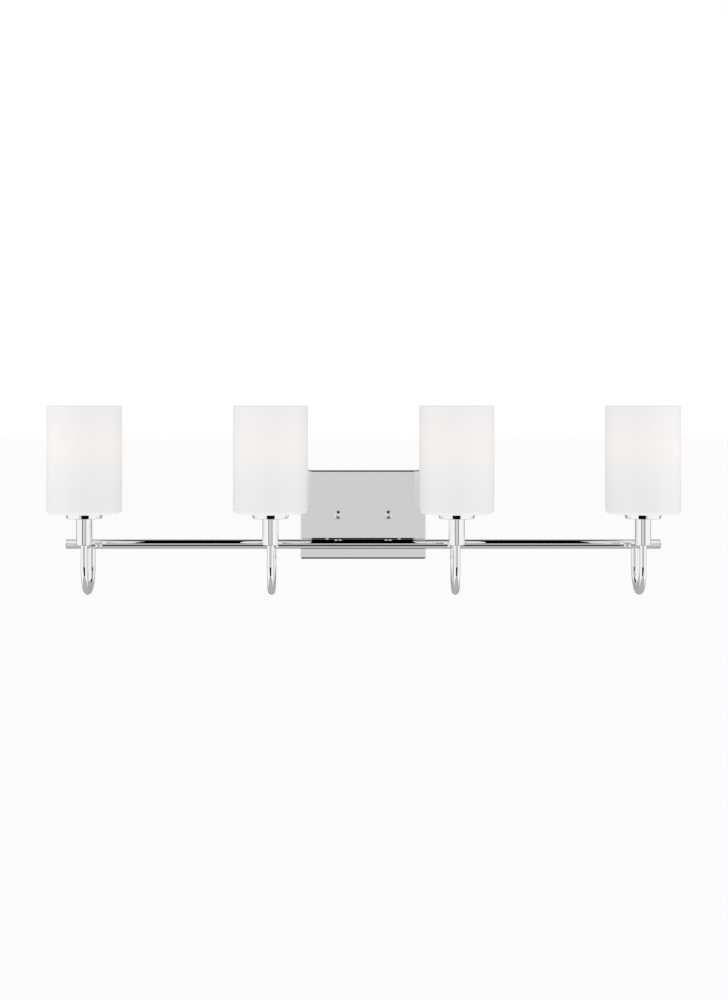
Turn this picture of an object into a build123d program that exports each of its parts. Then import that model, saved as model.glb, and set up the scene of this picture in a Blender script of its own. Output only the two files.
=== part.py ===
from build123d import *
import os

os.makedirs("parts", exist_ok=True)

# A four-light bath bar. The origin is on the wall, at the middle of the backplate.
# +Z is up, +X runs along the bar and -Y points out into the room. Sizes are in millimetres.

# Layout
light_count = 4
light_spacing = 248.5  # between neighbouring columns
bar_overhang = 35.75  # bar end beyond the last column's axis
bar_drop = 39.5  # bar's axis below the backplate's middle
bar_standoff = 14.0  # bar's axis in front of the backplate's face
arm_reach = 73.0  # columns' axis in front of the bar's axis
arm_depth = 65.5  # lowest point of an arm below the bar's axis
column_rise = 4.5  # foot of a column above the bar's axis

# Backplate, a pressed box open towards the wall
plate_width = 174.0
plate_height = 122.0
plate_depth = 24.0
plate_gauge = 1.0
plate_bend = 1.8
plate_corner = 2.4

# Bar, posts and end plugs
bar_diameter = 13.0
bar_wall = 1.3
post_spacing = 100.0
post_diameter = 12.4
post_stem_diameter = 9.7
post_bore = 7.0
post_stem_end = 2.0  # stem past its nut
plug_lip = 1.6
plug_spigot = 8.0
plug_chamfer = 0.5

# Arms and columns
arm_diameter = 9.5
arm_wall = 1.25
arm_thread_end = 11.0  # length of arm inside the column
column_diameter = 21.3
column_wall = 1.5
column_base = 4.0
column_length = 35.5
column_edge = 1.0

# Disc that a shade stands on
seat_border = 4.3  # disc outside the shade's hole
seat_thickness = 6.2
seat_taper = 1.3  # disc's foot inside its top edge
seat_edge = 0.7
seat_spigot = 6.0
nipple_diameter = 9.7
nipple_bore = 6.6
nipple_above = 4.3  # nipple above the disc's top
nipple_below = 8.5  # nipple below the disc's spigot

# Socket
socket_diameter = 38.0
socket_height = 38.0
socket_floor = 5.3
shell_gauge = 0.35
shell_flange = 4.5
contact_width = 5.0
contact_gauge = 0.5
contact_height = 6.7
contact_heel = 7.0  # foot behind the socket's axis
contact_bend = 6.0  # fold in front of the axis
contact_tongue = 9.0  # tongue folded back over the foot

# Shade and what clamps it
shade_diameter = 100.0
shade_height = 143.8
shade_wall = 3.5
shade_floor = 4.0
shade_corner = 5.5
shade_inner_corner = 3.0
shade_rim = 1.2
gasket_thickness = 0.5
shade_hole_gap = 1.7  # shade's hole outside the socket
ring_washer_thickness = 0.8
ring_flange = 2.5
ring_height = 8.0
ring_skirt = 3.3
ring_overlap = 6.3  # ring's flange outside the shade's hole
ring_ribs = 12
ring_rib_size = 1.4

# Bulb
bulb_diameter = 60.0
bulb_length = 109.0
bulb_wall = 0.8
bulb_base_diameter = 26.2
bulb_base_height = 27.5
bulb_base_wall = 0.65
bulb_neck_height = 33.0  # straight neck's top above the bulb's tip
bulb_globe_sweep = 122.0  # degrees of the globe from its crown
bulb_tip_height = 2.2
bulb_cone_height = 5.0  # screw cap's side above the bulb's tip
bulb_cone_share = 0.7  # top of the tip contact as a share of the cap's radius
bulb_neck_sunk = 6.5  # neck inside the base

# Wall bracket and knobs
strap_gauge = 1.6
strap_width = 19.0
strap_across = 96.0
strap_upright = 106.0
strap_corner = 3.0
strap_centre_hole = 10.4
box_slot_spacing = 79.38
box_slot_length = 14.3
box_slot_width = 4.8
stud_spacing = 69.85
stud_diameter = 4.17
stud_hole = 5.2
ground_place = 19.0
ground_screw_diameter = 4.0
ground_head = 8.0
ground_head_height = 3.0
ground_slot_width = 1.2
knob_diameter = 11.0
knob_neck_diameter = 8.4
knob_neck = 1.8
knob_shoulder = 1.2
knob_side = 3.2
knob_bore_depth = 6.4
knob_washer_thickness = 0.6
stud_in_knob = 5.6

# Fasteners and clearances
nut_height = 4.0
nut_wall = 2.2
nut_clearance = 0.5  # round a nut's corners inside a column
washer_thickness = 0.8
washer_border = 3.0
fixed_fit = 0.05  # gap round pieces that are fastened together
thread_fit = 0.2  # gap round threads that are turned
touch_gap = 0.3  # gap before a moving piece touches

# Lead wires and their connectors
lead_diameter = 2.6
lead_offset = 1.6
lead_turn = 4.0
lead_plane = 9.0  # leads' distance from the wall inside the backplate
cap_length = 19.0
cap_diameter = 10.4
cap_bore = 6.4
cap_bore_depth = 13.3
cap_taper = 3.0
cap_start = 31.0
lead_in_cap = 9.0

# Places worked out from the sizes above
bar_y = -(plate_depth + bar_standoff)
bar_z = -bar_drop
column_y = bar_y - arm_reach
bend_radius = arm_reach / 2
bend_z = bar_z - arm_depth + arm_diameter / 2 + bend_radius
column_foot = bar_z + column_rise
column_top = column_foot + column_length
seat_top = column_top + seat_thickness
socket_top = seat_top + socket_height
shade_foot = seat_top + gasket_thickness
shade_floor_top = shade_foot + shade_floor
ring_foot = shade_floor_top + ring_washer_thickness
contact_floor = seat_top + socket_floor
bulb_tip = contact_floor + contact_height + touch_gap
bar_length = (light_count - 1) * light_spacing + 2 * bar_overhang
bar_bore = bar_diameter - 2 * bar_wall
arm_bore = arm_diameter - 2 * arm_wall
column_bore = column_diameter - 2 * column_wall
column_nut_corners = column_bore - 2 * nut_clearance
shade_hole = socket_diameter + 2 * shade_hole_gap
seat_diameter = shade_hole + 2 * seat_border
shell_inside = bulb_base_diameter / 2 + thread_fit + touch_gap / 2
shell_outside = shell_inside + shell_gauge
socket_bore = shell_outside + fixed_fit
plate_inside = plate_depth - plate_gauge
stud_length = plate_depth + knob_washer_thickness + stud_in_knob
post_nut_flats = post_stem_diameter + 2 * nut_wall
post_stem = plate_gauge + washer_thickness + nut_height + post_stem_end
light_places = [(i - (light_count - 1) / 2) * light_spacing for i in range(light_count)]
post_places = [-post_spacing / 2, post_spacing / 2]
stud_places = [-stud_spacing / 2, stud_spacing / 2]
sides = {"left": -1, "right": 1}


def upright(x):
    # sketch plane through a light's axis: its x is the radius and its y is the height
    return Plane(origin=(x, column_y, 0), x_dir=(1, 0, 0), z_dir=(0, -1, 0))


def axis_of(x):
    return Axis((x, column_y, 0), (0, 0, 1))


def facing_out(x, z, distance):
    # sketch plane parallel to the wall, at that distance from it, centred on (x, z)
    return Plane(origin=(x, -distance, z), x_dir=(1, 0, 0), z_dir=(0, -1, 0))


def write(piece, label):
    piece.part.label = label
    export_step(piece.part, f"parts/{label}.step")


# Backplate: pressed box with holes for the studs and the posts
with BuildPart() as backplate:
    with BuildSketch(Plane.XZ):
        RectangleRounded(plate_width, plate_height, plate_corner)
    extrude(amount=plate_depth)
    fillet(backplate.faces().sort_by(Axis.Y)[0].edges(), radius=plate_bend)
    offset(amount=-plate_gauge, openings=backplate.faces().sort_by(Axis.Y)[-1])
    with BuildSketch(Plane.XZ.offset(plate_depth)):
        with Locations(*[(x, 0) for x in stud_places]):
            Circle(stud_hole / 2)
        with Locations(*[(x, bar_z) for x in post_places]):
            Circle(post_stem_diameter / 2 + fixed_fit)
    extrude(amount=-2 * plate_gauge, mode=Mode.SUBTRACT)
write(backplate, "backplate")

# Mounting strap: a cross of steel strip with slots for the wall box's screws
with BuildPart() as mounting_strap:
    with BuildSketch(Plane.XZ):
        RectangleRounded(strap_across, strap_width, strap_corner)
        RectangleRounded(strap_width, strap_upright, strap_corner)
        Circle(strap_centre_hole / 2, mode=Mode.SUBTRACT)
        with Locations((0, -box_slot_spacing / 2), (0, box_slot_spacing / 2)):
            SlotOverall(box_slot_length, box_slot_width, rotation=90, mode=Mode.SUBTRACT)
        with Locations(*[(x, 0) for x in stud_places]):
            Circle(stud_diameter / 2 + fixed_fit, mode=Mode.SUBTRACT)
        with Locations((ground_place, 0)):
            Circle(ground_screw_diameter / 2 + fixed_fit, mode=Mode.SUBTRACT)
    extrude(amount=strap_gauge)
write(mounting_strap, "mounting_strap")

# Studs that the backplate hangs on, screwed into the strap
with BuildPart() as strap_studs:
    with BuildSketch(Plane.XZ):
        with Locations(*[(x, 0) for x in stud_places]):
            Circle(stud_diameter / 2)
    extrude(amount=stud_length)
write(strap_studs, "strap_studs")

# Nuts that lock the studs in the strap
with BuildPart() as stud_nuts:
    with BuildSketch(Plane.XZ.offset(strap_gauge)):
        with Locations(*[(x, 0) for x in stud_places]):
            RegularPolygon(stud_diameter / 2 + nut_wall, 6)
            Circle(stud_diameter / 2 + fixed_fit, mode=Mode.SUBTRACT)
    extrude(amount=nut_height)
write(stud_nuts, "stud_nuts")

# Ground screw, with a slotted hex head
with BuildPart() as ground_screw:
    with BuildSketch(facing_out(ground_place, 0, 0)):
        Circle(ground_screw_diameter / 2)
    extrude(amount=strap_gauge)
    with BuildSketch(facing_out(ground_place, 0, strap_gauge)):
        RegularPolygon(ground_head / 2, 6)
    extrude(amount=ground_head_height)
    with BuildSketch(facing_out(ground_place, 0, strap_gauge + ground_head_height)):
        Rectangle(2 * ground_head, ground_slot_width)
    extrude(amount=-ground_head_height / 2, mode=Mode.SUBTRACT)
write(ground_screw, "ground_screw")


def knob_piece(x):
    # domed cap that screws onto the stud
    seat_y = -(plate_depth + knob_washer_thickness)
    neck = knob_neck_diameter / 2
    widest = knob_diameter / 2
    side_start = knob_neck + knob_shoulder
    side_end = side_start + knob_side
    with BuildPart() as knob:
        with BuildSketch(Plane(origin=(x, seat_y, 0), x_dir=(1, 0, 0), z_dir=(0, 0, 1))):
            with BuildLine():
                Polyline((0, 0), (neck, 0), (neck, -knob_neck), (widest, -side_start), (widest, -side_end))
                CenterArc((0, -side_end), widest, 0, -90)
                Line((0, -side_end - widest), (0, 0))
            make_face()
        revolve(axis=Axis((x, seat_y, 0), (0, 1, 0)))
        with BuildSketch(Plane(origin=(x, seat_y, 0), x_dir=(1, 0, 0), z_dir=(0, -1, 0))):
            Circle(stud_diameter / 2 + thread_fit)
        extrude(amount=knob_bore_depth, mode=Mode.SUBTRACT)
    return knob


def knob_washer(x):
    with BuildPart() as washer:
        with BuildSketch(facing_out(x, 0, plate_depth)):
            Circle(knob_neck_diameter / 2 + touch_gap)
            Circle(stud_diameter / 2 + thread_fit, mode=Mode.SUBTRACT)
        extrude(amount=knob_washer_thickness)
    return washer


for side, sign in sides.items():
    write(knob_piece(sign * stud_spacing / 2), f"knob_{side}")
    write(knob_washer(sign * stud_spacing / 2), f"knob_washer_{side}")


def post_piece(x):
    # hollow post: threaded stem through the backplate, saddle against the bar
    with BuildPart() as post:
        with BuildSketch(facing_out(x, bar_z, plate_depth)):
            Circle(post_diameter / 2)
        extrude(amount=bar_standoff)
        with BuildSketch(facing_out(x, bar_z, plate_depth)):
            Circle(post_stem_diameter / 2)
        extrude(amount=-post_stem)
        with BuildSketch(facing_out(x, bar_z, plate_depth - post_stem)):
            Circle(post_bore / 2)
        extrude(amount=post_stem + bar_standoff, mode=Mode.SUBTRACT)
        with BuildSketch(Plane.YZ.offset(x)):
            with Locations((bar_y, bar_z)):
                Circle(bar_diameter / 2)
        extrude(amount=post_diameter, both=True, mode=Mode.SUBTRACT)
    return post


for side, sign in sides.items():
    write(post_piece(sign * post_spacing / 2), f"post_{side}")

# Washers and nuts that hold the posts, behind the backplate's face
with BuildPart() as post_washers:
    with BuildSketch(Plane.XZ.offset(plate_inside - washer_thickness)):
        with Locations(*[(x, bar_z) for x in post_places]):
            Circle(post_stem_diameter / 2 + washer_border)
            Circle(post_stem_diameter / 2 + fixed_fit, mode=Mode.SUBTRACT)
    extrude(amount=washer_thickness)
write(post_washers, "post_washers")

with BuildPart() as post_nuts:
    with BuildSketch(Plane.XZ.offset(plate_inside - washer_thickness - nut_height)):
        with Locations(*[(x, bar_z) for x in post_places]):
            RegularPolygon(post_nut_flats / 2, 6, major_radius=False)
            Circle(post_stem_diameter / 2 + fixed_fit, mode=Mode.SUBTRACT)
    extrude(amount=nut_height)
write(post_nuts, "post_nuts")

# Bar: tube with a wire hole behind for each post and below for each arm
with BuildPart() as bar_tube:
    with BuildSketch(Plane.YZ.offset(-bar_length / 2 + plug_lip)):
        with Locations((bar_y, bar_z)):
            Circle(bar_diameter / 2)
            Circle(bar_bore / 2, mode=Mode.SUBTRACT)
    extrude(amount=bar_length - 2 * plug_lip)
    with BuildSketch(Plane.XZ.offset(-bar_y)):
        with Locations(*[(x, bar_z) for x in post_places]):
            Circle(post_bore / 2)
    extrude(amount=-bar_diameter, mode=Mode.SUBTRACT)
    with BuildSketch(Plane.XY.offset(bar_z)):
        with Locations(*[(x, bar_y) for x in light_places]):
            Circle(arm_bore / 2)
    extrude(amount=-bar_diameter, mode=Mode.SUBTRACT)
write(bar_tube, "bar_tube")


def end_plug(sign):
    end = Plane(origin=(sign * bar_length / 2, bar_y, bar_z), x_dir=(0, 1, 0), z_dir=(-sign, 0, 0))
    with BuildPart() as plug:
        with BuildSketch(end):
            Circle(bar_diameter / 2)
        extrude(amount=plug_lip)
        chamfer(plug.faces().sort_by(Axis.X)[-1 if sign > 0 else 0].edges(), length=plug_chamfer)
        with BuildSketch(end.offset(plug_lip)):
            Circle(bar_bore / 2 - fixed_fit)
        extrude(amount=plug_spigot)
    return plug


for side, sign in sides.items():
    write(end_plug(sign), f"end_plug_{side}")


def arm_piece(x):
    # hook-shaped tube: saddle under the bar, round bend, threaded end inside the column
    with BuildPart() as arm:
        with BuildLine(Plane.YZ.offset(x)) as hook:
            Line((bar_y, bar_z), (bar_y, bend_z))
            CenterArc((bar_y - bend_radius, bend_z), bend_radius, 0, -180)
            Line((column_y, bend_z), (column_y, column_foot + arm_thread_end))
        with BuildSketch(Plane(origin=(x, bar_y, bar_z), x_dir=(1, 0, 0), z_dir=(0, 0, -1))):
            Circle(arm_diameter / 2)
            Circle(arm_bore / 2, mode=Mode.SUBTRACT)
        sweep(path=hook.wires()[0])
        with BuildSketch(Plane.YZ.offset(x)):
            with Locations((bar_y, bar_z)):
                Circle(bar_diameter / 2)
        extrude(amount=arm_diameter, both=True, mode=Mode.SUBTRACT)
    return arm


def column_piece(x):
    # tube with a thick floor that the arm's end comes up through
    outside = column_diameter / 2
    inside = column_bore / 2
    hole = arm_diameter / 2 + fixed_fit
    floor = column_foot + column_base
    with BuildPart() as column:
        with BuildSketch(upright(x)):
            with BuildLine():
                Polyline(
                    (hole, column_foot), (outside, column_foot), (outside, column_top),
                    (inside, column_top), (inside, floor), (hole, floor), close=True,
                )
            make_face()
        revolve(axis=axis_of(x))
        foot_edges = column.edges().filter_by(GeomType.CIRCLE).group_by(Axis.Z)[0]
        fillet(foot_edges.sort_by(SortBy.RADIUS)[-1], radius=column_edge)
    return column


def seat_piece(x):
    # disc that widens upwards, with a spigot that stands in the column
    hole = nipple_diameter / 2 + fixed_fit
    spigot = column_bore / 2 - fixed_fit
    foot = column_top - seat_spigot
    outside = seat_diameter / 2
    with BuildPart() as seat:
        with BuildSketch(upright(x)):
            with BuildLine():
                Polyline(
                    (hole, foot), (spigot, foot), (spigot, column_top),
                    (outside - seat_taper, column_top), (outside, seat_top), (hole, seat_top), close=True,
                )
            make_face()
        revolve(axis=axis_of(x))
        rims = seat.edges().filter_by(GeomType.CIRCLE).sort_by(SortBy.RADIUS)[-2:]
        fillet(rims, radius=seat_edge)
    return seat


def socket_piece(x):
    # porcelain cup, screwed onto the nipple
    outside = socket_diameter / 2
    bore = socket_bore
    hole = nipple_diameter / 2 + fixed_fit
    with BuildPart() as socket:
        with BuildSketch(upright(x)):
            with BuildLine():
                Polyline(
                    (hole, seat_top), (outside, seat_top), (outside, socket_top),
                    (bore, socket_top), (bore, contact_floor), (hole, contact_floor), close=True,
                )
            make_face()
        revolve(axis=axis_of(x))
        fillet(socket.edges().filter_by(GeomType.CIRCLE).group_by(Axis.Z)[-1], radius=seat_edge)
    return socket


def shell_piece(x):
    # brass screw shell, with a flange on the socket's floor
    top = socket_top - seat_edge - touch_gap
    flange_top = contact_floor + shell_gauge
    flange_inside = shell_inside - shell_flange
    with BuildPart() as shell:
        with BuildSketch(upright(x)):
            with BuildLine():
                Polyline(
                    (flange_inside, contact_floor), (shell_outside, contact_floor), (shell_outside, top),
                    (shell_inside, top), (shell_inside, flange_top), (flange_inside, flange_top), close=True,
                )
            make_face()
        revolve(axis=axis_of(x))
    return shell


def shade_piece(x):
    # open-topped glass cylinder with a holed floor
    outside = shade_diameter / 2
    inside = outside - shade_wall
    hole = shade_hole / 2
    top = shade_foot + shade_height
    with BuildPart() as shade:
        with BuildSketch(upright(x)):
            with BuildLine():
                Polyline(
                    (hole, shade_foot), (outside, shade_foot), (outside, top),
                    (inside, top), (inside, shade_floor_top), (hole, shade_floor_top), close=True,
                )
            make_face()
        revolve(axis=axis_of(x))
        levels = shade.edges().filter_by(GeomType.CIRCLE).group_by(Axis.Z)
        outer_corner = levels[0].sort_by(SortBy.RADIUS)[-1]
        inner_corner = levels[1].sort_by(SortBy.RADIUS)[-1]
        rim_edges = levels[-1]
        fillet(outer_corner, radius=shade_corner)
        fillet(inner_corner, radius=shade_inner_corner)
        fillet(rim_edges, radius=min(shade_rim, shade_wall / 2 - touch_gap))
    return shade


def flat_ring(x, foot, thickness, inside, outside):
    # flat washer about a light's axis
    with BuildPart() as washer:
        with BuildSketch(Plane.XY.offset(foot)):
            with Locations((x, column_y)):
                Circle(outside)
                Circle(inside, mode=Mode.SUBTRACT)
        extrude(amount=thickness)
    return washer


def ring_piece(x):
    # threaded ring that clamps the shade's floor, ribbed for the fingers
    inside = socket_diameter / 2 + thread_fit
    skirt = inside + ring_skirt
    flange = shade_hole / 2 + ring_overlap
    flange_top = ring_foot + ring_flange
    top = ring_foot + ring_height
    with BuildPart() as ring:
        with BuildSketch(upright(x)):
            with BuildLine():
                Polyline(
                    (inside, ring_foot), (flange, ring_foot), (flange, flange_top),
                    (skirt, flange_top), (skirt, top), (inside, top), close=True,
                )
            make_face()
        revolve(axis=axis_of(x))
        with BuildSketch(Plane.XY.offset(ring_foot)):
            with Locations((x, column_y)):
                with PolarLocations(skirt, ring_ribs):
                    Rectangle(2 * ring_rib_size, ring_rib_size)
        extrude(amount=ring_height)
    return ring


def glass_outline(shrink, foot):
    # half section of the bulb's glass, pulled in by shrink, about the sketch's y axis
    globe = bulb_diameter / 2 - shrink
    globe_height = bulb_tip + bulb_length - bulb_diameter / 2
    neck = bulb_base_diameter / 2 - bulb_base_wall - touch_gap - shrink
    with BuildLine() as outline:
        crown = CenterArc((0, globe_height), globe, 90, -bulb_globe_sweep)
        flank = Spline(crown @ 1, (neck, bulb_tip + bulb_neck_height), tangents=(crown % 1, (0, -1)))
        Polyline(flank @ 1, (neck, foot), (0, foot), crown @ 0)
    return outline.edges()


def bulb_glass_piece(x):
    foot = bulb_tip + bulb_base_height - bulb_neck_sunk
    with BuildPart() as glass:
        with BuildSketch(upright(x)):
            make_face(glass_outline(0, foot))
        revolve(axis=axis_of(x))
        with BuildSketch(upright(x)):
            make_face(glass_outline(bulb_wall, foot - bulb_wall))
        revolve(axis=axis_of(x), mode=Mode.SUBTRACT)
    return glass


def bulb_base_piece(x):
    # screw cap with its tip contact, open at the top for the glass
    outside = bulb_base_diameter / 2
    inside = outside - bulb_base_wall
    tip = outside / 3
    cone = outside * bulb_cone_share
    cone_foot = bulb_tip + bulb_tip_height
    side_foot = bulb_tip + bulb_cone_height
    top = bulb_tip + bulb_base_height
    with BuildPart() as base:
        with BuildSketch(upright(x)):
            with BuildLine():
                Polyline(
                    (0, bulb_tip), (tip, bulb_tip), (cone, cone_foot), (outside, side_foot),
                    (outside, top), (inside, top), (inside, side_foot + bulb_base_wall),
                    (0, side_foot), close=True,
                )
            make_face()
        revolve(axis=axis_of(x))
    return base


gasket_inside = shade_hole / 2 + touch_gap
gasket_outside = seat_diameter / 2 - seat_edge
washer_outside = shade_hole / 2 + ring_overlap - touch_gap

for number, x in enumerate(light_places, start=1):
    write(arm_piece(x), f"arm_{number}")
    write(column_piece(x), f"column_{number}")
    write(seat_piece(x), f"shade_seat_{number}")
    write(socket_piece(x), f"socket_body_{number}")
    write(shade_piece(x), f"shade_{number}")
    ring_washer = flat_ring(x, shade_floor_top, ring_washer_thickness, gasket_inside, washer_outside)
    write(ring_washer, f"ring_washer_{number}")
    write(ring_piece(x), f"shade_ring_{number}")
    write(bulb_glass_piece(x), f"bulb_glass_{number}")
    write(bulb_base_piece(x), f"bulb_base_{number}")

# Screw shells, one in each socket
with BuildPart() as socket_shells:
    for x in light_places:
        add(shell_piece(x).part)
write(socket_shells, "socket_shells")

# Centre contacts: a foot on the socket's floor and a tongue folded back over it
with BuildPart() as socket_contacts:
    for x in light_places:
        foot = contact_floor
        top = contact_floor + contact_height
        inside = contact_bend - contact_gauge
        tongue = contact_bend - contact_tongue
        with BuildSketch(facing_out(x, 0, contact_width / 2 - column_y)):
            with BuildLine():
                Polyline(
                    (-contact_heel, foot), (contact_bend, foot), (contact_bend, top), (tongue, top),
                    (tongue, top - contact_gauge), (inside, top - contact_gauge),
                    (inside, foot + contact_gauge), (-contact_heel, foot + contact_gauge), close=True,
                )
            make_face()
        extrude(amount=-contact_width)
write(socket_contacts, "socket_contacts")

# Gaskets between disc and shade
with BuildPart() as seat_gaskets:
    for x in light_places:
        add(flat_ring(x, seat_top, gasket_thickness, gasket_inside, gasket_outside).part)
write(seat_gaskets, "seat_gaskets")

# Threaded nipples that carry the sockets
with BuildPart() as stem_nipples:
    with BuildSketch(Plane.XY.offset(column_top - seat_spigot - nipple_below)):
        with Locations(*[(x, column_y) for x in light_places]):
            Circle(nipple_diameter / 2)
            Circle(nipple_bore / 2, mode=Mode.SUBTRACT)
    extrude(amount=nipple_below + seat_spigot + seat_thickness + nipple_above)
write(stem_nipples, "stem_nipples")


def column_nuts(foot, bolt_diameter):
    # hexagon nuts small enough to drop into the columns
    with BuildPart() as nuts:
        with BuildSketch(Plane.XY.offset(foot)):
            with Locations(*[(x, column_y) for x in light_places]):
                RegularPolygon(column_nut_corners / 2, 6)
                Circle(bolt_diameter / 2 + fixed_fit, mode=Mode.SUBTRACT)
        extrude(amount=nut_height)
    return nuts


write(column_nuts(column_foot + column_base, arm_diameter), "arm_nuts")
write(column_nuts(column_top - seat_spigot - nut_height, nipple_diameter), "stem_nuts")

# Connectors that join the leads inside the backplate
with BuildPart() as wire_caps:
    for sign in sides.values():
        mouth = Plane(origin=(sign * cap_start, -lead_plane, bar_z), x_dir=(0, 1, 0), z_dir=(-sign, 0, 0))
        with BuildSketch(mouth):
            Circle(cap_diameter / 2)
        extrude(amount=cap_length, taper=cap_taper)
        with BuildSketch(mouth):
            Circle(cap_bore / 2)
        extrude(amount=cap_bore_depth, mode=Mode.SUBTRACT)
write(wire_caps, "wire_caps")


def lead_route(sign, x, lift):
    # from the connector, out through a post, along the bar, round the arm and up to the socket
    level = bar_z + lift
    start = (sign * (cap_start - lead_in_cap), -lead_plane, level)
    over_post = (sign * post_spacing / 2, -lead_plane, level)
    in_bar = (sign * post_spacing / 2, bar_y, level)
    over_arm = (x, bar_y, level)
    arm_rear = (x, bar_y, bend_z)
    arm_bottom = (x, bar_y - bend_radius, bend_z - bend_radius)
    arm_front = (x, column_y, bend_z)
    under_contact = (x, column_y, contact_floor - touch_gap)
    with BuildLine() as route:
        FilletPolyline(start, over_post, in_bar, over_arm, arm_rear, radius=lead_turn)
        ThreePointArc(arm_rear, arm_bottom, arm_front)
        Line(arm_front, under_contact)
    return route.wires()[0]


with BuildPart() as lead_wires:
    for sign in sides.values():
        reach = sorted(abs(x) for x in light_places if x * sign > 0)
        for place, lift in zip(reach, (-lead_offset, lead_offset)):
            route = lead_route(sign, sign * place, lift)
            with BuildSketch(Plane(origin=route @ 0, z_dir=route % 0)):
                Circle(lead_diameter / 2)
            sweep(path=route)
write(lead_wires, "lead_wires")
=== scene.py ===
import bpy
import bmesh
import math
from mathutils import Matrix, Vector


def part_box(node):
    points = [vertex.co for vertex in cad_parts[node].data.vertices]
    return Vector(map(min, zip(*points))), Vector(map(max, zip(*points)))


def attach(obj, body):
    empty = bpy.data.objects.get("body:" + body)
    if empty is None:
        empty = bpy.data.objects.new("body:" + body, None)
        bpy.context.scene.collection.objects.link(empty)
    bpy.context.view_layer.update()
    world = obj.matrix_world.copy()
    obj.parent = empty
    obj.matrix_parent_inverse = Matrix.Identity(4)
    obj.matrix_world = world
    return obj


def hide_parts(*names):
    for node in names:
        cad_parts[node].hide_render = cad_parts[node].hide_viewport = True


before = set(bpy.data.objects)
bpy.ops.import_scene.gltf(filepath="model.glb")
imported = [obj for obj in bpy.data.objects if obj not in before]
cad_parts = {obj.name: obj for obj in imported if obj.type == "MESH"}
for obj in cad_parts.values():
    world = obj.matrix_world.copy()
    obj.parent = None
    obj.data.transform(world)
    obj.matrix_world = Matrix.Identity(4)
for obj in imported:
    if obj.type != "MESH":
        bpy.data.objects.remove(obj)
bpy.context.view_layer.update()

# A four-light bath bar on a wall plate: chrome metalwork, etched opal shades, lit bulbs.
# Everything is in metres. Places come from the frame's boxes, small details from the
# dictionaries beside each piece.

mm = 0.001
lights = [1, 2, 3, 4]
sides = {"left": -1, "right": 1}


# camera, light and floor

cameraSetup = {
    "place": (-0.0155, -2.511, 0.1586),
    "lens": 64.76,
    "shift": (0.012, -0.1),
}


def makeCamera():
    data = bpy.data.cameras.new("camera")
    data.lens = cameraSetup["lens"]
    data.sensor_width = 36
    data.shift_x, data.shift_y = cameraSetup["shift"]
    camera = bpy.data.objects.new("camera", data)
    camera.location = cameraSetup["place"]
    camera.rotation_euler = (math.radians(90), 0, 0)
    bpy.context.scene.collection.objects.link(camera)
    bpy.context.scene.camera = camera
    bpy.context.scene.view_settings.view_transform = "Standard"


# shader helpers

class Value:
    # an output socket that can be used in sums, each of which adds a Math node
    def __init__(self, tree, socket):
        self.tree = tree
        self.socket = socket

    def __add__(self, other):
        return self.tree.maths("ADD", self, other)

    def __radd__(self, other):
        return self.tree.maths("ADD", other, self)

    def __sub__(self, other):
        return self.tree.maths("SUBTRACT", self, other)

    def __rsub__(self, other):
        return self.tree.maths("SUBTRACT", other, self)

    def __mul__(self, other):
        return self.tree.maths("MULTIPLY", self, other)

    def __rmul__(self, other):
        return self.tree.maths("MULTIPLY", other, self)

    def __truediv__(self, other):
        return self.tree.maths("DIVIDE", self, other)

    def __abs__(self):
        return self.tree.maths("ABSOLUTE", self)


class Tree:
    # a node tree with one method that adds any node
    def __init__(self, nodeTree):
        self.nodeTree = nodeTree

    def put(self, socket, value):
        if isinstance(value, Value):
            self.nodeTree.links.new(value.socket, socket)
        else:
            socket.default_value = value

    def add(self, kind, settings=None, values=None, output=0):
        node = self.nodeTree.nodes.new("ShaderNode" + kind)
        for name, value in (settings or {}).items():
            setattr(node, name, value)
        for name, value in (values or {}).items():
            self.put(node.inputs[name], value)
        return Value(self, node.outputs[output])

    def maths(self, operation, *values):
        return self.add("Math", {"operation": operation}, dict(enumerate(values)))

    def spread(self, value, low, high, newLow, newHigh):
        # a smooth change from newLow to newHigh as value goes from low to high
        values = {"Value": value, "From Min": low, "From Max": high, "To Min": newLow, "To Max": newHigh}
        return self.add("MapRange", {"interpolation_type": "SMOOTHSTEP"}, values)

    def blend(self, factor, first, second):
        # a mix of two colours
        return self.add("Mix", {"data_type": "RGBA"}, {0: factor, 6: first, 7: second}, output=2)

    def where(self, scale=(1, 1, 1), turn=(0, 0, 0), shift=(0, 0, 0)):
        # the point on the piece, in metres, stretched or turned
        point = self.add("TexCoord", output="Object")
        values = {"Vector": point, "Location": shift, "Rotation": turn, "Scale": scale}
        return self.add("Mapping", None, values)

    def noise(self, point, scale, detail=3, rough=0.5):
        values = {"Vector": point, "Scale": scale, "Detail": detail, "Roughness": rough}
        return self.add("TexNoise", None, values)


class Finish(Tree):
    # a material round one Principled shader
    def __init__(self, name, **shader):
        self.material = bpy.data.materials.new(name)
        self.material.use_nodes = True
        super().__init__(self.material.node_tree)
        self.shader = self.nodeTree.nodes["Principled BSDF"]
        for socket, value in shader.items():
            self.use(socket, value)

    def use(self, socket, value):
        # sockets are named in camelCase: baseColor is Base Color
        spoken = "".join(" " + letter if letter.isupper() else letter for letter in socket).title()
        names = {"Ior": "IOR", "Specular Level": "Specular IOR Level"}
        self.put(self.shader.inputs[names.get(spoken, spoken)], value)

    def bumps(self, height, distance, strength=1.0):
        values = {"Height": height, "Distance": distance, "Strength": strength}
        self.use("normal", self.add("Bump", None, values))


def colour(red, green, blue):
    return (red, green, blue, 1)


def grey(level):
    return (level, level, level, 1)


# studio

studio = {
    "front": 0.645,  # what polished metal sees towards the camera
    "flank": 0.95,
    "rear": 0.42,
    "below": 0.46,
    "frontEdge": (20, 31),  # degrees round from the camera's side
    "rearEdge": (115, 128),
    "belowEdge": (-40, -48),
    "soft": 0.735,  # even light that the white glass sees
    "floorDrop": 1.2,
}


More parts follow.
